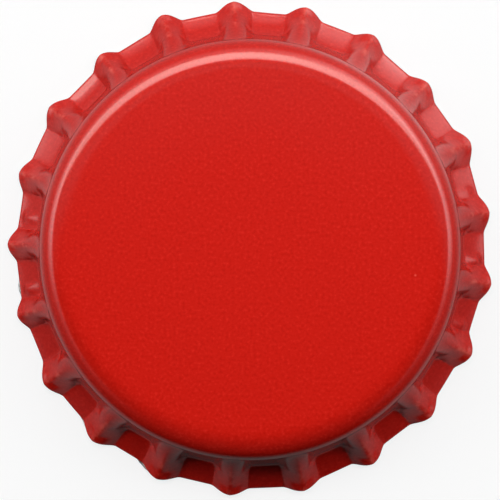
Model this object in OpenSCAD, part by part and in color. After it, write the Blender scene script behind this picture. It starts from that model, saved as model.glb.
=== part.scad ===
// Crown cap for a 26 mm bottle mouth, before it is crimped on.
// One stamped tinplate shell with a fluted, flaring skirt, and a moulded sealing liner under its panel.
// The cap stands on its rim: the origin is the centre of the rim plane, +Z points up through the panel.

/* [Panel and mouth] */
// Inside diameter of the straight band that slips over the bottle mouth
mouth_d = 26.9; // [26.6:0.05:26.9]
// Overall height from the rim to the top of the panel
cap_h = 6.0; // [5.8:0.1:6.2]
// Thickness of the tinplate sheet
sheet_t = 0.24; // [0.22:0.01:0.26]
// Outside radius of the rolled corner between the panel and the skirt
corner_r = 2.0; // [1.8:0.1:2.2]
// Height of the straight band under the rolled corner
band_h = 0.6; // [0.5:0.05:0.7]

/* [Fluted skirt] */
// Number of flutes round the skirt
flute_count = 21; // [20:1:22]
// Outside diameter over the flute tips
tip_d = 32.1; // [31.9:0.1:32.3]
// Outside diameter across the flat valleys between the flutes, at the rim
valley_d = 30.8; // [30.6:0.1:31.0]
// Share of the skirt's height that is a steep wall between two flutes, above their flat panel
wall_end = 0.6; // [0.5:0.02:0.64]
// Width of a flute at its root, with the gusset on each side of it
flute_w_top = 2.35; // [2.2:0.05:2.5]
// Width of a flute below its gussets
flute_w_knee = 2.0; // [1.8:0.05:2.1]
// Width of a flute at the rim
flute_w_rim = 2.6; // [2.3:0.1:2.9]
// How much higher the rim is at a flute tip than in a valley
tip_lift = 0.35; // [0.2:0.05:0.5]

/* [Sealing liner] */
// Outside diameter of the liner's sealing ring
liner_d = 25.8; // [25.4:0.1:26.0]
// Width of the sealing ring
ring_w = 2.0; // [1.6:0.1:2.4]
// Depth of the sealing ring below the panel
ring_h = 0.85; // [0.7:0.05:1.0]
// Thickness of the web inside the sealing ring
web_t = 0.2; // [0.15:0.05:0.3]

/* [Hidden] */
enamel_red = [0.78, 0.13, 0.10];
compound_grey = [0.82, 0.83, 0.82];

// Straight band
band_inner_r = mouth_d / 2;
band_outer_r = band_inner_r + sheet_t;
band_mid_r = band_inner_r + sheet_t / 2;
band_top_z = cap_h - corner_r;
band_end_z = band_top_z - band_h;
panel_z = cap_h - sheet_t;

// Skirt sheet, measured on its middle surface. Its root is buried in the wall of the straight band.
root_z = band_end_z + 0.5 * band_h;
root_t = 0.8 * sheet_t;
root_share = 0.15;

// Between two flutes the sheet is a steep wall, a tight bend, a flat panel and a lip that flares at the rim.
// The shares are of the sheet's whole way out, and the bends are shares of its way down.
wall_share = 0.24;
wall_bend = 0.03;
lip_share = 0.16;
lip_power = 8;
flat_start = 0.1;
flat_end = 0.45;
crest_bend = 0.14;

// Across a flute, from its middle (0) to its foot (1): a low roof to each side of the ridge, then a steep flank.
// Near the root the flank ends early, at flank_foot, and a gusset falls from there to the foot.
// From the foot a shallow fillet runs out into the valley.
ridge_fall = 0.48;
ridge_half = 0.42;
flank_foot = 0.56;
gusset_h = 0.42;
fillet_h = 0.12;
knee_start = wall_end + 0.02;
knee_end = wall_end + 0.12;
widen_power = 3;
round_start = 0.86;
rim_power = 1.2;

// Middle surface at the rim
slope_step = 0.01;
pitch = 360 / flute_count;
half_pitch = pitch / 2;
valley_lean = rim_lean(valley_share(1 - slope_step), valley_share(1 + slope_step), valley_d / 2 - band_outer_r);
tip_lean = rim_lean(crest_share(1 - slope_step), crest_share(1 + slope_step), tip_d / 2 - band_outer_r);
valley_mid_r = valley_d / 2 - sheet_t / 2 * cos(valley_lean);
tip_mid_r = tip_d / 2 - sheet_t / 2 * cos(tip_lean);
rim_mid_z = sheet_t / 2 * sin(valley_lean);

// Mesh of the skirt: its columns across half a flute and its rows down the sheet, closest where it bends
half_flute = [1, 0.78, flank_foot, ridge_half, 0.2, 0];
flute_steps = 2 * (len(half_flute) - 1);
valley_steps = 4;
columns_each = flute_steps + valley_steps;
columns = flute_count * columns_each;
row_u = [0, root_share, 0.5 * wall_end, 0.8 * wall_end, wall_end - wall_bend, wall_end + wall_bend,
         knee_start + wall_bend, knee_end, 0.88, 1];
rows = len(row_u) - 1;
first_flute = 180;
round_steps = 168;
corner_steps = 48;
edge_steps = 24;
ring_edge_r = 0.3;

function mix(a, b, k) = a + (b - a) * k;
function smooth(k) = k <= 0 ? 0 : k >= 1 ? 1 : k * k * (3 - 2 * k);

// u runs down the sheet, from 0 at the root to 1 at the rim; angle is measured from the middle of a flute
function past_bend(u) = u - wall_end + sqrt(pow(u - wall_end, 2) + pow(wall_bend, 2));
function panel_share(u) = (past_bend(u) - past_bend(0)) / (past_bend(1) - past_bend(0));
function valley_share(u) =
    wall_share * u + (1 - wall_share - lip_share) * panel_share(u) + lip_share * pow(u, lip_power);
function crest_share(u) = (1 + crest_bend) * u * u / (u + crest_bend);
function rim_lean(above, below, spread) = atan((below - above) / (2 * slope_step) * spread / root_z);
function valley_r(u) = mix(band_mid_r, valley_mid_r, valley_share(u));
function crest_r(u) = mix(band_mid_r, tip_mid_r, crest_share(u));
function flatness(u) = smooth((u - flat_start) / (flat_end - flat_start));
function facet(u, angle) = mix(1, 1 / cos(half_pitch - abs(angle)), flatness(u));

function past_knee(u) = smooth((u - knee_start) / (knee_end - knee_start));
function widening(u) = pow(max(0, (u - knee_start) / (1 - knee_start)), widen_power);
function flute_w(u) =
    mix(flute_w_top, flute_w_knee, past_knee(u)) + (flute_w_rim - flute_w_knee) * widening(u);
function flute_angle(u) = flute_w(u) / 2 / mix(band_mid_r, valley_mid_r, u) * 180 / PI;

// Height across a flute, from 1 at its middle to 0 in the middle of the next valley, at an angle off its middle
function flute_profile(off, u) =
    let (share = off / flute_angle(u))
    let (foot = mix(flank_foot, 1, past_knee(u)))
    let (gusset_top = mix(gusset_h, fillet_h, past_knee(u)))
    let (roof = 1 - ridge_fall * share)
    let (eaves = 1 - ridge_fall * ridge_half)
    let (flank = mix(gusset_top, eaves, (foot - share) / (foot - ridge_half)))
    let (gusset = share < foot || foot == 1 ? 0 : mix(gusset_top, fillet_h, (share - foot) / (1 - foot)))
    let (fillet = fillet_h * pow((half_pitch - off) / (half_pitch - flute_angle(u)), 2))
    let (pressed = share < 1 ? max(min(roof, flank), gusset) : fillet)
    let (rounded = (1 + cos(180 * pow(min(share, 1), rim_power))) / 2)
    mix(pressed, rounded, smooth((u - round_start) / (1 - round_start)));

function sheet_point(u, angle, flute_at) =
    let (height = crest_r(u) - valley_r(u) * facet(u, 0))
    let (off = min(abs(angle), pitch - abs(angle)))
    let (share = flute_profile(off, u))
    let (r = valley_r(u) * facet(u, off) + height * share)
    let (z = mix(root_z, rim_mid_z, u) + tip_lift * share * u * u)
    [r * cos(flute_at + angle), r * sin(flute_at + angle), z];

function sheet_normal(u, angle, flute_at) =
    let (down = sheet_point(u + slope_step, angle, flute_at) - sheet_point(u - slope_step, angle, flute_at))
    let (round = sheet_point(u, angle + slope_step, flute_at) - sheet_point(u, angle - slope_step, flute_at))
    let (n = cross(down, round))
    n / norm(n);

// The skirt's cross-section is a closed loop of stations: down the outer side, round the cut edge,
// and back up the inner side to the root.
stations = 2 * (rows + 1);
function station_side(s) = s <= rows ? 1 : -1;
function station_row(s) = s <= rows ? s : stations - 1 - s;
function thickness(u) = mix(root_t, sheet_t, smooth(u / root_share));

// A column keeps its place on its flute or valley all the way down, so the mesh narrows with the flute
function flute_share(j) = j <= flute_steps / 2 ? -half_flute[j] : half_flute[flute_steps - j];
function column_angle(u, j) =
    j <= flute_steps
    ? flute_share(j) * flute_angle(u)
    : mix(flute_angle(u), pitch - flute_angle(u), (j - flute_steps) / valley_steps);

function skirt_point(s, column) =
    let (u = row_u[station_row(s)])
    let (flute_at = first_flute + floor(column / columns_each) * pitch)
    let (angle = column_angle(u, column % columns_each))
    let (offset = station_side(s) * thickness(u) / 2)
    sheet_point(u, angle, flute_at) + offset * sheet_normal(u, angle, flute_at);

// Each four-sided patch is split along the diagonal that mirrors about the middle of its flute
function patch(a, b, c, d, left) = left ? [[a, b, c], [a, c, d]] : [[a, b, d], [b, c, d]];
function skirt_faces() = [
    for (s = [0 : stations - 1])
        for (column = [0 : columns - 1])
            let (next_s = (s + 1) % stations)
            let (next_column = (column + 1) % columns)
            let (left = column % columns_each < flute_steps / 2)
            let (a = s * columns + column)
            let (b = s * columns + next_column)
            let (c = next_s * columns + next_column)
            let (d = next_s * columns + column)
            each patch(a, b, c, d, left)
];

// Half outline of a flat-topped round cap with a rolled corner
module domed_outline(r, top, corner, bottom) {
    translate([0, bottom])
        square([r - corner, top - bottom]);
    translate([0, bottom])
        square([r, top - corner - bottom]);
    translate([r - corner, top - corner])
        circle(r = corner, $fn = corner_steps);
}

module shell_top() {
    rotate_extrude($fn = round_steps)
        difference() {
            domed_outline(band_outer_r, cap_h, corner_r, band_end_z);
            domed_outline(band_inner_r, panel_z, corner_r - sheet_t, band_end_z - corner_r);
        }
}

module fluted_skirt() {
    points = [
        for (s = [0 : stations - 1])
            for (column = [0 : columns - 1])
                skirt_point(s, column)
    ];
    polyhedron(points = points, faces = skirt_faces(), convexity = 6);
}

module crown_shell() {
    color(enamel_red)
        union() {
            shell_top();
            fluted_skirt();
        }
}

// Half outline of the sealing ring, with its two lower edges rounded
module ring_outline() {
    inner_r = liner_d / 2 - ring_w;
    foot_z = panel_z - ring_h;
    translate([inner_r, foot_z + ring_edge_r])
        square([ring_w, ring_h - ring_edge_r]);
    translate([inner_r + ring_edge_r, foot_z])
        square([ring_w - 2 * ring_edge_r, ring_h]);
    translate([inner_r + ring_edge_r, foot_z + ring_edge_r])
        circle(r = ring_edge_r, $fn = edge_steps);
    translate([inner_r + ring_w - ring_edge_r, foot_z + ring_edge_r])
        circle(r = ring_edge_r, $fn = edge_steps);
}

// The liner fills the space up to the panel and the inside of the rolled corner
module liner() {
    color(compound_grey)
        rotate_extrude($fn = round_steps)
            intersection() {
                domed_outline(band_inner_r, panel_z, corner_r - sheet_t, band_end_z);
                union() {
                    translate([0, panel_z - web_t])
                        square([liner_d / 2 - ring_edge_r, web_t]);
                    ring_outline();
                }
            }
}

crown_shell();
liner();
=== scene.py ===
"""A red crown cap for a 26 mm bottle mouth, lying on its rim and seen from straight above.

Lengths are written in millimetres and turned into metres by MM. The shell is one pressed sheet
of tinplate: its middle surface is worked out ring by ring, from the panel down to the rim, and
then given its thickness. The liner is the frame's own, with a material of its own.
"""
import math
from types import SimpleNamespace

import bpy
import numpy as np
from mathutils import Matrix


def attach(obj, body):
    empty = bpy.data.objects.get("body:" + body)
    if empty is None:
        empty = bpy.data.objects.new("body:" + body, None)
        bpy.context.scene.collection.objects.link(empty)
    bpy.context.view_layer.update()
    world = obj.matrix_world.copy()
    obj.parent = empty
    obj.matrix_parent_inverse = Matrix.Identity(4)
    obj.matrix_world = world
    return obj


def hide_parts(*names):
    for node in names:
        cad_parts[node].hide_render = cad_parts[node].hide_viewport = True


MM = 0.001

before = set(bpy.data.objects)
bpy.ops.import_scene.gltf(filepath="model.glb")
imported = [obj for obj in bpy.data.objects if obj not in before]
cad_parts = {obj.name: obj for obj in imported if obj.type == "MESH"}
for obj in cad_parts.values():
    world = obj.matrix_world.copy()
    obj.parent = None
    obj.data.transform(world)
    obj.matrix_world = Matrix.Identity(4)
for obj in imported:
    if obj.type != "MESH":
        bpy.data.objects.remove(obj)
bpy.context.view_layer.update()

# ---------------------------------------------------------------- sizes of the pressed sheet, in mm
CAP_H = 6.0
SHEET_T = 0.24
MOUTH_R = 13.45
CORNER_R = 2.0
BAND_H = 0.6
FLUTES = 21
FIRST_FLUTE_AT = math.pi
TIP_R = 16.05
VALLEY_R = 15.4
FLUTE_W_RIM = 2.6
TIP_LIFT = 0.35

BAND_MID_R = MOUTH_R + SHEET_T / 2
CORNER_MID_R = CORNER_R - SHEET_T / 2
PANEL_MID_Z = CAP_H - SHEET_T / 2
FLAT_R = BAND_MID_R - CORNER_MID_R
BAND_TOP_Z = CAP_H - CORNER_R
ROOT_Z = BAND_TOP_Z - BAND_H / 2
PITCH = 2 * math.pi / FLUTES
HALF_PITCH = PITCH / 2

# Shares of the way down the skirt, from its root in the band (0) to the rim (1). Between two
# flutes a steep wall comes first, which takes WALL_SHARE of the way out. At WALL_END it bends out
# into a panel, flat in plan from FLAT_TO on, and a lip flares at the rim. The lip's share of the
# way out depends on which side of the cap the valley is on, as the photo sees it.
WALL_END = 0.60
WALL_BEND = 0.018
WALL_SHARE = 0.24
FLAT_FROM, FLAT_TO = 0.1, 0.45
LIP_TOP = 0.26
LIP_SIDE = 0.06
LIP_BOTTOM = 0.10
LIP_POWER = 8

# A flute's crest bends within CREST_BEND of the root, and CREST_FLARE of its way out comes late
CREST_BEND = 0.06
CREST_FLARE = 0.15

# Across a flute, in shares of the pitch from its middle: a roof runs out to the eaves, a steep
# flank drops from there to its foot, and a gusset slopes on to the toe in the valley. The first of
# each pair holds near the root and the second past the knee, or for the roof past ROOF_TO. The
# roof's slope and the foot's height are in flute heights. AT_RIM has the three places at the rim,
# where the flute is a rounded wave.
EAVES = (0.145, 0.205)
FOOT, FOOT_H = (0.178, 0.245), (0.33, 0.06)
TOE = (0.28, 0.285)
AT_RIM = (0.15, 0.22, 0.285)
KNEE_FROM, KNEE_TO = 0.57, 0.69
ROOF_SLOPE = (2.6, 3.9)
RIDGE_ROUND = (0.05, 0.022)
ROOF_FROM, ROOF_TO = 0.35, 0.85
FLANK_ROUND = 0.02
TOE_ROUND = 0.06
ROUND_FROM = 0.84
RIM_POWER = 1.2

# The cut edge is slightly rounded: each turn is an angle from the outer face (90) to the inner
# one (-90), and the middle of the edge stands out by EDGE_BULGE
EDGE_TURNS = (65, 0, -65)
EDGE_BULGE = 0.03

# The unevenness of a real pressing, at the rim
SEED = 26
RIM_OVAL = 0.16
FLUTE_DRIFT = math.radians(0.8)
FLUTE_TURN = math.radians(-0.45)
TIP_SPREAD = 0.05
WIDTH_SPREAD = 0.05
VALLEY_SPREAD = 0.05
VALLEY_ORDERS = np.arange(3, 12)
LIP_SPREAD = 0.015
# One valley sags: its wall bends later and more of its way out is left to the lip
SAGGED_VALLEY = 18
SAG, SAG_LIP = 0.04, 0.20
# Valleys whose wall bends later too, and by how much. Their lip is less by SLACK_LIP of that.
SLACK = ((11, 0.03), (12, 0.05), (13, 0.055), (14, 0.055), (19, 0.03))
SLACK_LIP = 1.5
# Folds that run down the panels: the flute, the fold's place beside it in pitches, its height
FOLDS = ((0, -0.41, 0.24), (1, -0.34, 0.24), (9, 0.33, 0.16), (10, 0.32, 0.24), (11, 0.35, 0.10))
FOLD_HALF = 0.065
FOLD_FROM, FOLD_TO, FOLD_END = 0.50, 0.82, 0.97
# Burrs on the cut edge: azimuth and half the length in degrees, and how far it stands out
BURRS = ((189.4, 1.7, 0.16), (226.0, 1.2, 0.12), (243.5, 1.6, 0.20))
BURR_POWER = 4
# A painted highlight makes the ridges paler, from the first share of the way down and fully by the
# second, over this half width in pitches
PAINTED_HIGHLIGHT_FROM, PAINTED_HIGHLIGHT_TO = 0.35, 0.55
PAINTED_HIGHLIGHT_HALF = 0.022
# A pale fleck on the panel: its place, the radii where it begins and where it is full, and how
# pale it is there
FLECK = (10.67, -1.66, 6.0)
FLECK_EDGE, FLECK_CORE = 0.10, 0.03
FLECK_SHARE = 0.6

# Density of the mesh: the columns over half a flute and half a valley, and the rows down the sheet
ROOF_SHARES = (0, 0.1, 0.3, 0.53, 0.77)
FLANK_STEPS = 3
GUSSET_STEPS = 3
VALLEY_STEPS = 7
PANEL_ROWS = 2
CORNER_ROWS = 12
BAND_ROWS = 2
SKIRT_ROWS = 46

# Material slots of the sheet
OUTSIDE, CUT_EDGE, INSIDE = range(3)

rng = np.random.default_rng(SEED)


# ---------------------------------------------------------------- the pressed sheet
def mix(a, b, k):
    return a + (b - a) * k


def smooth(k):
    k = np.clip(k, 0, 1)
    return k * k * (3 - 2 * k)


def wander(angle, orders, phases):
    """A smooth random wave round the cap, with a spread of about 1."""
    waves = [np.cos(order * angle + phase) for order, phase in zip(orders, phases)]
    return sum(waves) * math.sqrt(2 / len(orders))


class Pressing:
    """The columns that run down the sheet, and what is uneven about each flute and valley."""

    def __init__(self):
        self.half = len(ROOF_SHARES) + FLANK_STEPS + GUSSET_STEPS + VALLEY_STEPS
        column = np.arange(FLUTES * 2 * self.half)
        self.flute = column // (2 * self.half)
        self.step = column % (2 * self.half) - self.half
        self.flute_at = FIRST_FLUTE_AT + self.flute * PITCH
        self.width = 1 + rng.normal(0, WIDTH_SPREAD, FLUTES)
        self.extra = rng.normal(0, TIP_SPREAD, FLUTES)
        self.valley = np.where(self.step < 0, self.flute - 1, self.flute) % FLUTES
        towards_top = np.sin(FIRST_FLUTE_AT + (np.arange(FLUTES) + 0.5) * PITCH)
        lip_end = np.where(towards_top > 0, LIP_TOP, LIP_BOTTOM)
        self.lip = mix(LIP_SIDE, lip_end, towards_top ** 2) + rng.normal(0, LIP_SPREAD, FLUTES)
        self.wall_end = np.full(FLUTES, WALL_END)
        self.wall_end[SAGGED_VALLEY] += SAG
        self.lip[SAGGED_VALLEY] += SAG_LIP
        for valley, later in SLACK:
            self.wall_end[valley] += later
            self.lip[valley] -= SLACK_LIP * later
        self.valley_phases = rng.uniform(0, 2 * math.pi, len(VALLEY_ORDERS))

    def shares(self, u, width):
        """Where the columns of half a flute stand, in pitches: closest at the flute's edges."""
        eaves, foot, toe = (edge * width for edge in edges(u))
        return np.concatenate([
            eaves * np.array(ROOF_SHARES),
            np.linspace(eaves, foot, FLANK_STEPS, endpoint=False),
            np.linspace(foot, toe, GUSSET_STEPS, endpoint=False),
            np.linspace(toe, 0.5, VALLEY_STEPS + 1),
        ])

    def angles(self, u):
        """Each column's angle from the middle of its own flute."""
        table = np.array([self.shares(u, width) for width in self.width])
        return np.sign(self.step) * table[self.flute, np.abs(self.step)] * PITCH

    def placed(self, r, angle, z, u):
        """Points at r, angle and z, moved by the unevenness, which is nothing at the root."""
        r = r - RIM_OVAL * u * np.cos(2 * angle)
        r = r + VALLEY_SPREAD * u * wander(angle, VALLEY_ORDERS, self.valley_phases)
        angle = angle + (FLUTE_TURN + FLUTE_DRIFT * np.cos(angle)) * smooth(u / FLAT_TO)
        return np.stack([r * np.cos(angle), r * np.sin(angle), z + 0 * r], axis=1)

    def ring(self, r, z):
        """A round ring of the panel, the corner or the band."""
        angle = self.flute_at + self.angles(0.0)
        return self.placed(r + 0 * angle, angle, z, 0.0)

    def folds(self, angle, u):
        """How far the folds stand out of the sheet."""
        out = 0 * angle
        for flute, at, high in FOLDS:
            off = self.flute_at + angle - FIRST_FLUTE_AT - (flute + at) * PITCH
            off = (off + math.pi) % (2 * math.pi) - math.pi
            out = out + high * np.exp(-(off / PITCH / FOLD_HALF) ** 2)
        rise = smooth((u - FOLD_FROM) / (FOLD_TO - FOLD_FROM))
        return out * rise * smooth((FOLD_END - u) / (FOLD_END - FOLD_TO))

    def painted_ridge_highlight(self, u):
        """How near each column is to the ridge of a flute, where a highlight is painted on the
        enamel.
        """
        across = np.exp(-(self.angles(u) / PITCH / PAINTED_HIGHLIGHT_HALF) ** 2)
        return across * smooth((u - PAINTED_HIGHLIGHT_FROM) / (PAINTED_HIGHLIGHT_TO - PAINTED_HIGHLIGHT_FROM))

    def skirt_ring(self, u):
        angle = self.angles(u)
        off = np.abs(angle)
        crest = flute_profile(off / PITCH / self.width[self.flute], u)
        share = valley_share(u, self.wall_end[self.valley], self.lip[self.valley])
        valley_r = mix(BAND_MID_R, VALLEY_MID_R, share) + self.folds(angle, u)
        base = valley_r * facet(u, HALF_PITCH - off)
        height = crest_r(u) + self.extra[self.flute] * u - valley_r * facet(u, HALF_PITCH)
        z = mix(ROOT_Z, RIM_MID_Z, u) + TIP_LIFT * crest * u * u
        return self.placed(base + height * crest, self.flute_at + angle, z, u)


def past_bend(u, wall_end):
    return u - wall_end + np.sqrt((u - wall_end) ** 2 + WALL_BEND ** 2)


def valley_share(u, wall_end=WALL_END, lip=LIP_TOP):
    """How far out the sheet is between two flutes: a steep wall, a bend, a panel and a lip."""
    at_root, at_rim = past_bend(0, wall_end), past_bend(1, wall_end)
    panel = (past_bend(u, wall_end) - at_root) / (at_rim - at_root)
    return WALL_SHARE * u + (1 - WALL_SHARE - lip) * panel + lip * u ** LIP_POWER


def crest_share(u):
    """How far out the middle of a flute is."""
    bent = (1 + CREST_BEND) * u * u / (u + CREST_BEND)
    return (1 - CREST_FLARE) * bent + CREST_FLARE * u ** 3


def lean(share, spread):
    """The sheet's lean from upright at the rim, where share gives its way out over the spread."""
    step = 0.001
    return math.atan((1 - share(1 - step)) / step * spread / ROOT_Z)


VALLEY_LEAN = lean(valley_share, VALLEY_R - MOUTH_R - SHEET_T)
TIP_LEAN = lean(crest_share, TIP_R - MOUTH_R - SHEET_T)
VALLEY_MID_R = VALLEY_R - SHEET_T / 2 * math.cos(VALLEY_LEAN)
TIP_MID_R = TIP_R - SHEET_T / 2 * math.cos(TIP_LEAN)
RIM_MID_Z = SHEET_T / 2 * math.sin(VALLEY_LEAN)


def crest_r(u):
    return mix(BAND_MID_R, TIP_MID_R, crest_share(u))


def facet(u, from_middle):
    """Flattens the ring into a polygon with a side between each two flutes."""
    return mix(1, 1 / np.cos(from_middle), smooth((u - FLAT_FROM) / (FLAT_TO - FLAT_FROM)))


def soft_min(a, b, k):
    return (a + b - np.sqrt((a - b) ** 2 + k * k)) / 2


def soft_max(a, b, k):
    return (a + b + np.sqrt((a - b) ** 2 + k * k)) / 2


def past_knee(u):
    return smooth((u - KNEE_FROM) / (KNEE_TO - KNEE_FROM))


def near_rim(u):
    return smooth((u - ROUND_FROM) / (1 - ROUND_FROM))


def edges(u):
    """The eaves, the foot and the toe of half a flute, in pitches, for placing the columns."""
    knee, rim = past_knee(u), near_rim(u)
    return [mix(mix(*pair, knee), at_rim, rim) for pair, at_rim in zip((EAVES, FOOT, TOE), AT_RIM)]


def flute_profile(share, u):
    """The height across a flute, from 1 at its middle to 0 in the valley, share pitches off it."""
    knee = past_knee(u)
    eaves, foot, toe = (mix(*pair, knee) for pair in (EAVES, FOOT, TOE))
    foot_h = mix(*FOOT_H, knee)
    steeper = smooth((u - ROOF_FROM) / (ROOF_TO - ROOF_FROM))
    slope, rounding = mix(*ROOF_SLOPE, steeper), mix(*RIDGE_ROUND, steeper)
    eaves_h, roof = (1 - slope * (np.sqrt(at ** 2 + rounding ** 2) - rounding)
                     for at in (eaves, share))
    flank = foot_h + (eaves_h - foot_h) * (foot - share) / (foot - eaves)
    gusset = soft_max(foot_h * (toe - share) / (toe - foot), 0, TOE_ROUND)
    pressed = soft_max(soft_min(roof, flank, FLANK_ROUND), gusset, FLANK_ROUND)
    rim_half = FLUTE_W_RIM / 2 / VALLEY_MID_R / PITCH
    rounded = (1 + np.cos(math.pi * np.minimum(share / rim_half, 1) ** RIM_POWER)) / 2
    return mix(pressed, rounded, near_rim(u))


def sheet_rings(pressing):
    """Rings of the sheet's middle surface, from near the middle of the panel down to the rim."""
    rings = []
    for row in range(1, PANEL_ROWS + 1):
        rings.append(pressing.ring(FLAT_R * row / PANEL_ROWS, PANEL_MID_Z))
    for row in range(1, CORNER_ROWS + 1):
        turn = math.pi / 2 * row / CORNER_ROWS
        r = FLAT_R + CORNER_MID_R * math.sin(turn)
        rings.append(pressing.ring(r, BAND_TOP_Z + CORNER_MID_R * math.cos(turn)))
    for row in range(1, BAND_ROWS):
        rings.append(pressing.ring(BAND_MID_R, mix(BAND_TOP_Z, ROOT_Z, row / BAND_ROWS)))
    for row in range(SKIRT_ROWS + 1):
        rings.append(pressing.skirt_ring(row / SKIRT_ROWS))
    return np.array(rings)


def normals_of(rings):
    """Outward unit normals of a grid of rings."""
    down = np.gradient(rings, axis=0)
    around = np.roll(rings, -1, axis=1) - np.roll(rings, 1, axis=1)
    normal = np.cross(down, around)
    return normal / np.linalg.norm(normal, axis=2, keepdims=True)


def burrs(azimuth):
    """How far the burrs stand out of the cut edge."""
    azimuth = np.degrees(azimuth) % 360
    return sum(out * np.exp(-((azimuth - at) / half) ** BURR_POWER) for at, half, out in BURRS)


def cut_edge(rings, normal):
    """Rings over the sheet's cut edge, from its outer face to its inner one."""
    rim = rings[-1]
    ahead = rim - rings[-2]
    ahead = ahead / np.linalg.norm(ahead, axis=1, keepdims=True)
    azimuth = np.arctan2(rim[:, 1], rim[:, 0])
    outward = np.stack([np.cos(azimuth), np.sin(azimuth), 0 * azimuth], axis=1)
    beyond = ahead * EDGE_BULGE + outward * burrs(azimuth)[:, None]
    edge = [rim + normal[-1] * SHEET_T / 2 * math.sin(turn) + beyond * math.cos(turn)
            for turn in map(math.radians, EDGE_TURNS)]
    return np.array(edge)


def shell_mesh():
    """The sheet as one closed mesh: its points, faces, material slots and painted highlight shares.
    """
    pressing = Pressing()
    rings = sheet_rings(pressing)
    normal = normals_of(rings)
    outer = rings + normal * SHEET_T / 2
    inner = rings - normal * SHEET_T / 2
    edge = cut_edge(rings, normal)
    loops = np.concatenate([outer, edge, inner[::-1]])
    count, columns = loops.shape[:2]

    # How much of the painted highlight along the ridges each point takes
    painted_ridge_highlight = np.zeros((count, columns))
    skirt_from = len(outer) - 1 - SKIRT_ROWS
    for row in range(SKIRT_ROWS + 1):
        painted_ridge_highlight[skirt_from + row] = pressing.painted_ridge_highlight(row / SKIRT_ROWS)

    points = loops.reshape(-1, 3).tolist()
    top, under = len(points), len(points) + 1
    points += [[0, 0, CAP_H], [0, 0, CAP_H - SHEET_T]]
    painted_ridge_highlight = painted_ridge_highlight.ravel().tolist() + [0, 0]

    faces, slots = [], []
    edge_from, edge_to = len(outer) - 1, len(outer) + len(edge)
    for row in range(count - 1):
        slot = OUTSIDE if row < edge_from else CUT_EDGE if row < edge_to else INSIDE
        for column in range(columns):
            after = (column + 1) % columns
            a, b = row * columns + column, row * columns + after
            faces.append((a, a + columns, b + columns, b))
            slots.append(slot)
    last = (count - 1) * columns
    for column in range(columns):
        after = (column + 1) % columns
        faces += [(top, column, after), (under, last + after, last + column)]
        slots += [OUTSIDE, INSIDE]
    return points, faces, slots, painted_ridge_highlight


def new_object(name, points, faces):
    """A smooth-shaded mesh object, from points in mm."""
    mesh = bpy.data.meshes.new(name)
    mesh.from_pydata([[value * MM for value in point] for point in points], [], faces)
    mesh.validate()
    mesh.polygons.foreach_set("use_smooth", [True] * len(mesh.polygons))
    mesh.update()
    piece = bpy.data.objects.new(name, mesh)
    bpy.context.scene.collection.objects.link(piece)
    return piece


# ---------------------------------------------------------------- materials
ENAMEL_TONES = (
    (0.30, (0.515, 0.0070, 0.0030)),
    (0.46, (0.572, 0.0095, 0.0042)),
    (0.56, (0.582, 0.0105, 0.0050)),
    (0.74, (0.65, 0.0190, 0.0115)),
)
# The pale tone of the painted highlight along the ridges
PAINTED_HIGHLIGHT_TONE = (0.80, 0.12, 0.09, 1)
STEEL_TONES = ((0.3, (0.42, 0.41, 0.40)), (0.7, (0.68, 0.67, 0.66)))
LACQUER_TONES = ((0.3, (0.60, 0.56, 0.47)), (0.7, (0.72, 0.68, 0.58)))
COMPOUND_TONES = ((0.3, (0.60, 0.61, 0.60)), (0.7, (0.70, 0.71, 0.69)))
BUMP_DEPTH = 0.02


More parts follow.
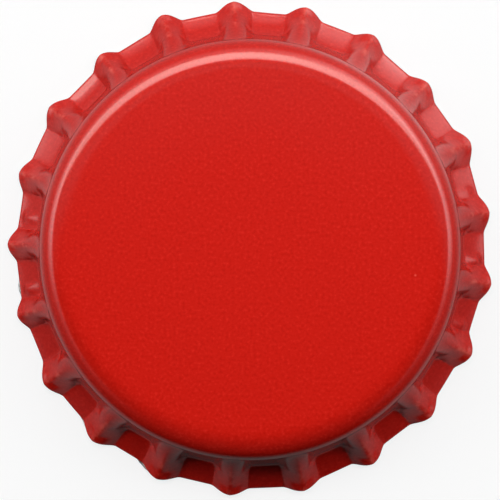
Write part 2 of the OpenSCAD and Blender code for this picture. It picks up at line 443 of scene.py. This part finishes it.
class Graph:
    """A node tree, put together from named values. A value is a constant or another's output."""

    def __init__(self, tree):
        self.nodes, self.links = tree.nodes, tree.links

    def feed(self, socket, value):
        if isinstance(value, bpy.types.NodeSocket):
            self.links.new(value, socket)
        else:
            socket.default_value = value

    def fill(self, node, **values):
        """Sets a node's inputs and properties by name, with _ for a space in an input's name."""
        for key, value in values.items():
            socket = key.replace("_", " ")
            if socket in node.inputs:
                self.feed(node.inputs[socket], value)
            else:
                setattr(node, key, value)
        return node

    def add(self, kind, **values):
        return self.fill(self.nodes.new(kind), **values)

    def maths(self, operation, a, b):
        node = self.add("ShaderNodeMath", operation=operation)
        self.feed(node.inputs[0], a)
        self.feed(node.inputs[1], b)
        return node.outputs["Value"]

    def vectors(self, operation, a, b=None, output="Vector"):
        node = self.add("ShaderNodeVectorMath", operation=operation)
        self.feed(node.inputs[0], a)
        if b is not None:
            self.feed(node.inputs[1], b)
        return node.outputs[output]

    def remap(self, value, **limits):
        return self.add("ShaderNodeMapRange", Value=value, **limits).outputs["Result"]

    def smooth_remap(self, value, from_0, from_1):
        """From 0 to 1 as the value goes from from_0 to from_1, with a soft start and end."""
        return self.remap(value, interpolation_type="SMOOTHSTEP", From_Min=from_0, From_Max=from_1)

    def parts(self, vector):
        return self.add("ShaderNodeSeparateXYZ", Vector=vector).outputs

    def place(self):
        """The place on the object itself."""
        return self.add("ShaderNodeTexCoord").outputs["Object"]

    def noise(self, scale, detail):
        """Noise on the object, where scale is how many lumps there are to a millimetre."""
        node = self.add("ShaderNodeTexNoise", Vector=self.place(), Scale=scale / MM, Detail=detail)
        return node.outputs["Fac"]

    def ramp(self, factor, stops):
        """A colour by the factor, from stops that each have a place and a colour."""
        node = self.add("ShaderNodeValToRGB", Fac=factor)
        elements = node.color_ramp.elements
        while len(elements) < len(stops):
            elements.new(0.5)
        for element, (place, colour) in zip(elements, stops):
            element.position = place
            element.color = (*colour, 1)
        return node.outputs["Color"]

    def mix_colours(self, share, a, b):
        """Colour a, turned into colour b by the share."""
        node = self.add("ShaderNodeMix", data_type="RGBA", Factor=share)
        from_a, from_b = [socket for socket in node.inputs if socket.type == "RGBA"]
        self.feed(from_a, a)
        self.feed(from_b, b)
        return [socket for socket in node.outputs if socket.type == "RGBA"][0]

    def mix_shaders(self, share, a, b):
        """Shader a, turned into shader b by the share."""
        node = self.add("ShaderNodeMixShader", Fac=share)
        self.feed(node.inputs[1], a)
        self.feed(node.inputs[2], b)
        return node.outputs["Shader"]

    def bump(self, height, strength):
        node = self.add("ShaderNodeBump", Height=height, Strength=strength,
                        Distance=BUMP_DEPTH * MM)
        return node.outputs["Normal"]


def new_material(name):
    """A material, its graph and its shader."""
    material = bpy.data.materials.new(name)
    material.use_nodes = True
    graph = Graph(material.node_tree)
    return material, graph, graph.nodes["Principled BSDF"]


def red_enamel():
    """Satin stoving enamel: a deep red with fine darker and paler specks and a little orange peel.

    It is paler in patches along the ridges, where a highlight is painted, and at one fleck on the
    panel.
    """
    material, graph, shader = new_material("red_enamel")
    colour = graph.ramp(graph.noise(scale=5.0, detail=2.0), ENAMEL_TONES)
    patches = graph.remap(graph.noise(scale=1.7, detail=3.0),
                          From_Min=0.42, From_Max=0.64, To_Max=0.7)
    # The painted highlight along the ridges, in patches
    ridge = graph.add("ShaderNodeAttribute", attribute_name="painted_ridge_highlight").outputs["Fac"]
    fleck_at = [value * MM for value in FLECK]
    from_fleck = graph.vectors("DISTANCE", graph.place(), fleck_at, output="Value")
    fleck = graph.remap(from_fleck, From_Min=FLECK_EDGE * MM, From_Max=FLECK_CORE * MM,
                        To_Max=FLECK_SHARE)
    paler = graph.maths("MAXIMUM", graph.maths("MULTIPLY", ridge, patches), fleck)
    graph.fill(shader,
               Base_Color=graph.mix_colours(paler, colour, PAINTED_HIGHLIGHT_TONE),
               Normal=graph.bump(graph.noise(scale=2.2, detail=3.0), strength=0.08),
               Roughness=0.16, Specular_IOR_Level=0.5)
    return material


def bare_steel():
    """The sheared edge of the sheet."""
    material, graph, shader = new_material("bare_steel")
    colour = graph.ramp(graph.noise(scale=4.0, detail=3.0), STEEL_TONES)
    graph.fill(shader, Base_Color=colour, Metallic=1.0, Roughness=0.38)
    return material


def lacquered_tin():
    """The inside of the sheet: tinplate under a thin clear lacquer with a faint gold tint."""
    material, graph, shader = new_material("lacquered_tin")
    grain = graph.noise(scale=1.6, detail=4.0)
    graph.fill(shader,
               Base_Color=graph.ramp(grain, LACQUER_TONES),
               Roughness=graph.remap(grain, To_Min=0.24, To_Max=0.36),
               Metallic=1.0, Coat_Weight=0.5, Coat_Roughness=0.12)
    return material


def sealing_compound():
    """Soft pale compound with a faint mottle and a matt skin."""
    material, graph, shader = new_material("sealing_compound")
    scatter = 0.5 * MM
    graph.fill(shader,
               Base_Color=graph.ramp(graph.noise(scale=0.9, detail=4.0), COMPOUND_TONES),
               Normal=graph.bump(graph.noise(scale=3.0, detail=3.0), strength=0.2),
               Roughness=0.5, Subsurface_Weight=0.15,
               Subsurface_Radius=(scatter, scatter, scatter))
    return material


# ---------------------------------------------------------------- the pieces
def make_shell():
    points, faces, slots, painted_ridge_highlight = shell_mesh()
    shell = new_object("crown_shell_sheet", points, faces)
    # The shares of the painted highlight along the ridges, for the enamel
    shell.data.attributes.new("painted_ridge_highlight", "FLOAT", "POINT").data.foreach_set("value", painted_ridge_highlight)
    for material in (red_enamel(), bare_steel(), lacquered_tin()):
        shell.data.materials.append(material)
    shell.data.polygons.foreach_set("material_index", slots)
    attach(shell, "root")
    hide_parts("crown_shell")


def dress_liner():
    liner = bpy.data.objects["liner"]
    compound = sealing_compound()
    if not liner.material_slots:
        liner.data.materials.append(compound)
    for material_slot in liner.material_slots:
        material_slot.material = compound


# ---------------------------------------------------------------- camera
PHOTO_SIDE = 500
PIXELS_PER_MM = 15.31
CAMERA_H = 520.0
SENSOR = 36.0
CENTRE_X, CENTRE_Y = 250.12, 249.64


def make_camera():
    """Straight down, with the image's up along +Y. The scale is the rim's, PIXELS_PER_MM.

    CENTRE_X and CENTRE_Y are where the cap's axis is in the picture, in pixels.
    """
    data = bpy.data.cameras.new("camera")
    data.sensor_width = SENSOR
    data.lens = SENSOR * CAMERA_H * PIXELS_PER_MM / PHOTO_SIDE
    data.clip_start = 0.01
    data.clip_end = 10
    camera = bpy.data.objects.new("camera", data)
    across = (PHOTO_SIDE / 2 - CENTRE_X) / PIXELS_PER_MM
    up = (CENTRE_Y - PHOTO_SIDE / 2) / PIXELS_PER_MM
    camera.location = (across * MM, up * MM, CAMERA_H * MM)
    bpy.context.scene.collection.objects.link(camera)
    bpy.context.scene.camera = camera


# ---------------------------------------------------------------- floor and light
# The floor: its half side, the paper's own tone, how much of its look to the camera is plain
# white and not lit paper, and how much light it throws back up
FLOOR_HALF = 600.0
FLOOR_WHITE = 0.85
FLOOR_GLOW = 0.80
FLOOR_BOUNCE = 0.04

# What the enamel mirrors: painted light and shade on the floor, and a glow in the low sky. Far off
# it is MIRROR_FAR bright on the lamp's side and dark on the side away from it: it rises from
# FAR_DARK to FAR_BRIGHT, in shares of the way towards the lamp.
MIRROR_FAR = 0.36
FAR_DARK, FAR_BRIGHT = -0.85, 0.30
# Nearer than NEAR_FROM the floor turns to MIRROR_NEAR, less up to NEAR_SHADE of painted shade on
# the side away from the lamp
MIRROR_NEAR = 0.42
NEAR_SHADE, NEAR_POWER = 0.17, 4.0
NEAR_FROM, NEAR_TO = 25.0, 18.0
# Under the rim a painted contact shadow darkens it, between these radii
CONTACT_FROM, CONTACT_TO = 15.2, 16.8
# Broad glares, painted on the floor and glowing in the low sky: the azimuth, strength and
# sharpness of each. The far floor has FAR_GLARE of them, and the low sky has LOW_GLARES too.
GLARES = ((48, 0.85, 9.0), (158, 0.20, 8.0))
FAR_GLARE = 0.4
LOW_GLARES = ((8, 0.75, 30.0), (170, 0.75, 30.0))
# The sky is mirrored only below SKY_FROM, fully below SKY_TO, and brighter with its height. These
# are heights on a unit sphere. SKY_DIM is the even light that it throws on everything.
SKY_FROM, SKY_TO = 0.42, 0.28
SKY_RISE = 10.0
SKY_DIM = 0.02


def lobes(graph, outward, glares):
    """The sum of some broad glares, in the direction outward."""
    total = 0.0
    for azimuth, strength, power in glares:
        azimuth = math.radians(azimuth)
        middle = (math.cos(azimuth), math.sin(azimuth), 0)
        lobe = graph.vectors("DOT_PRODUCT", outward, middle, output="Value")
        lobe = graph.maths("POWER", graph.maths("MAXIMUM", lobe, 0.0), power)
        total = graph.maths("ADD", total, graph.maths("MULTIPLY", lobe, strength))
    return total


def surroundings(graph, place):
    """How bright it is around the cap, in the direction of a place on the floor or in the sky.

    even is brightest on the lamp's side and dark on the other, and glare is the sum of GLARES.
    outward is the level direction of the place, and towards_lamp is its share along +Y.
    """
    outward = graph.vectors("NORMALIZE", graph.vectors("MULTIPLY", place, (1, 1, 0)))
    towards_lamp = graph.parts(outward)["Y"]
    even = graph.remap(towards_lamp, From_Min=FAR_DARK, From_Max=FAR_BRIGHT,
                       To_Min=0.0, To_Max=MIRROR_FAR)
    glare = lobes(graph, outward, GLARES)
    return SimpleNamespace(even=even, glare=glare, outward=outward, towards_lamp=towards_lamp)


def mirrored_floor(graph):
    """The painted light and shade that a glossy ray sees on the floor: its near and far parts,
    blended.
    """
    place = graph.add("ShaderNodeNewGeometry").outputs["Position"]
    around = surroundings(graph, place)
    distance = graph.vectors("LENGTH", place, output="Value")
    # Painted shade on the near floor, on the side away from the lamp
    behind = graph.remap(around.towards_lamp, From_Min=0.0, From_Max=-1.0)
    near = graph.remap(graph.maths("POWER", behind, NEAR_POWER),
                       To_Min=MIRROR_NEAR, To_Max=MIRROR_NEAR - NEAR_SHADE)
    # A painted contact shadow under the rim
    clear = graph.smooth_remap(distance, CONTACT_FROM * MM, CONTACT_TO * MM)
    near = graph.maths("MULTIPLY", graph.maths("ADD", near, around.glare), clear)
    far = graph.maths("ADD", around.even, graph.maths("MULTIPLY", around.glare, FAR_GLARE))
    nearness = graph.smooth_remap(distance, NEAR_FROM * MM, NEAR_TO * MM)
    return graph.add("ShaderNodeMix", data_type="FLOAT",
                     Factor=nearness, A=far, B=near).outputs["Result"]


def make_floor():
    """White paper under a long lamp.

    The camera sees it white, with a part of the cap's shadow. Reflections see a painted light and
    shade on it instead, brighter on the lamp's side, with a painted contact shadow under the rim
    and painted glares. It throws little light back up, so the skirt stays as deep in tone.
    """
    material, graph, shader = new_material("white_paper")
    paper = graph.add("ShaderNodeBsdfDiffuse", Color=(FLOOR_WHITE, FLOOR_WHITE, FLOOR_WHITE, 1))
    glow = graph.add("ShaderNodeEmission", Strength=1.0)
    seen = graph.mix_shaders(FLOOR_GLOW, paper.outputs["BSDF"], glow.outputs["Emission"])

    path = graph.add("ShaderNodeLightPath")
    glossy = path.outputs["Is Glossy Ray"]
    direct = graph.maths("MAXIMUM", path.outputs["Is Camera Ray"],
                         path.outputs["Is Transmission Ray"])
    mirrored = graph.maths("MULTIPLY", glossy, mirrored_floor(graph))
    bounce = graph.maths("MULTIPLY", graph.maths("SUBTRACT", 1.0, glossy), FLOOR_BOUNCE)
    graph.fill(shader, Base_Color=bounce, Roughness=0.9, Specular_IOR_Level=0.0)
    surface = graph.mix_shaders(graph.maths("MAXIMUM", direct, mirrored),
                                shader.outputs["BSDF"], seen)
    graph.fill(graph.nodes["Material Output"], Surface=surface)

    half = FLOOR_HALF
    corners = [[-half, -half, 0], [half, -half, 0], [half, half, 0], [-half, half, 0]]
    floor = new_object("floor", corners, [(0, 1, 2, 3)])
    floor.data.materials.append(material)


def make_world():
    """A dim even surround with a low glow for reflections. The camera itself sees it pale."""
    world = bpy.data.worlds.new("studio")
    world.use_nodes = True
    bpy.context.scene.world = world
    graph = Graph(world.node_tree)
    direction = graph.add("ShaderNodeTexCoord").outputs["Generated"]
    height = graph.parts(direction)["Z"]
    around = surroundings(graph, direction)
    glow = graph.maths("ADD", around.even, around.glare)
    glow = graph.maths("ADD", glow, lobes(graph, around.outward, LOW_GLARES))
    rise = graph.remap(height, clamp=False, To_Min=1.0, To_Max=1.0 + SKY_RISE)
    low = graph.smooth_remap(height, SKY_FROM, SKY_TO)
    path = graph.add("ShaderNodeLightPath")
    mirrored = graph.maths("MULTIPLY", low, path.outputs["Is Glossy Ray"])
    glow = graph.maths("MULTIPLY", graph.maths("MULTIPLY", glow, rise), mirrored)
    dim = graph.fill(graph.nodes["Background"], Color=(1, 1, 1, 1),
                     Strength=graph.maths("ADD", glow, SKY_DIM))
    pale = graph.add("ShaderNodeBackground", Strength=1.0)
    surface = graph.mix_shaders(path.outputs["Is Camera Ray"],
                                dim.outputs["Background"], pale.outputs["Background"])
    graph.fill(graph.nodes["World Output"], Surface=surface)


def area_light(name, tilt, azimuth, away, width, height, watts):
    """A flat lamp aimed at the cap. tilt is how far it leans from overhead, towards azimuth."""
    data = bpy.data.lights.new(name, "AREA")
    data.shape = "RECTANGLE"
    data.size = width
    data.size_y = height
    data.energy = watts
    lamp = bpy.data.objects.new(name, data)
    tilt, azimuth = math.radians(tilt), math.radians(azimuth)
    level = math.sin(tilt)
    direction = (level * math.cos(azimuth), level * math.sin(azimuth), math.cos(tilt))
    lamp.location = [value * away for value in direction]
    lamp.rotation_euler = (-tilt, 0, azimuth - math.pi / 2)
    lamp.visible_camera = False
    bpy.context.scene.collection.objects.link(lamp)
    return lamp


def make_lights():
    """Soft keys and fills that light the paint, and a long strip lamp that only shines in it."""
    key = dict(away=0.18, width=0.50, height=0.07)
    fill = dict(away=0.18, width=0.10, height=0.07)
    for lamp in (
        area_light("overhead_key", tilt=20, azimuth=90, watts=0.45, **key),
        area_light("front_key", tilt=54, azimuth=90, watts=0.21, **key),
        area_light("right_fill", tilt=62, azimuth=10, watts=0.06, **fill),
        area_light("left_fill", tilt=62, azimuth=170, watts=0.06, **fill),
    ):
        lamp.visible_glossy = False
    strip = area_light("strip_lamp", tilt=53, azimuth=90, away=0.40, width=3.2, height=0.19,
                       watts=8.4)
    strip.visible_diffuse = False
    strip.data.color = (1.0, 0.97, 0.90)
    strip.data.spread = math.radians(140)


make_camera()
make_shell()
dress_liner()
make_floor()
make_world()
make_lights()
bpy.context.scene.view_settings.view_transform = "Standard"
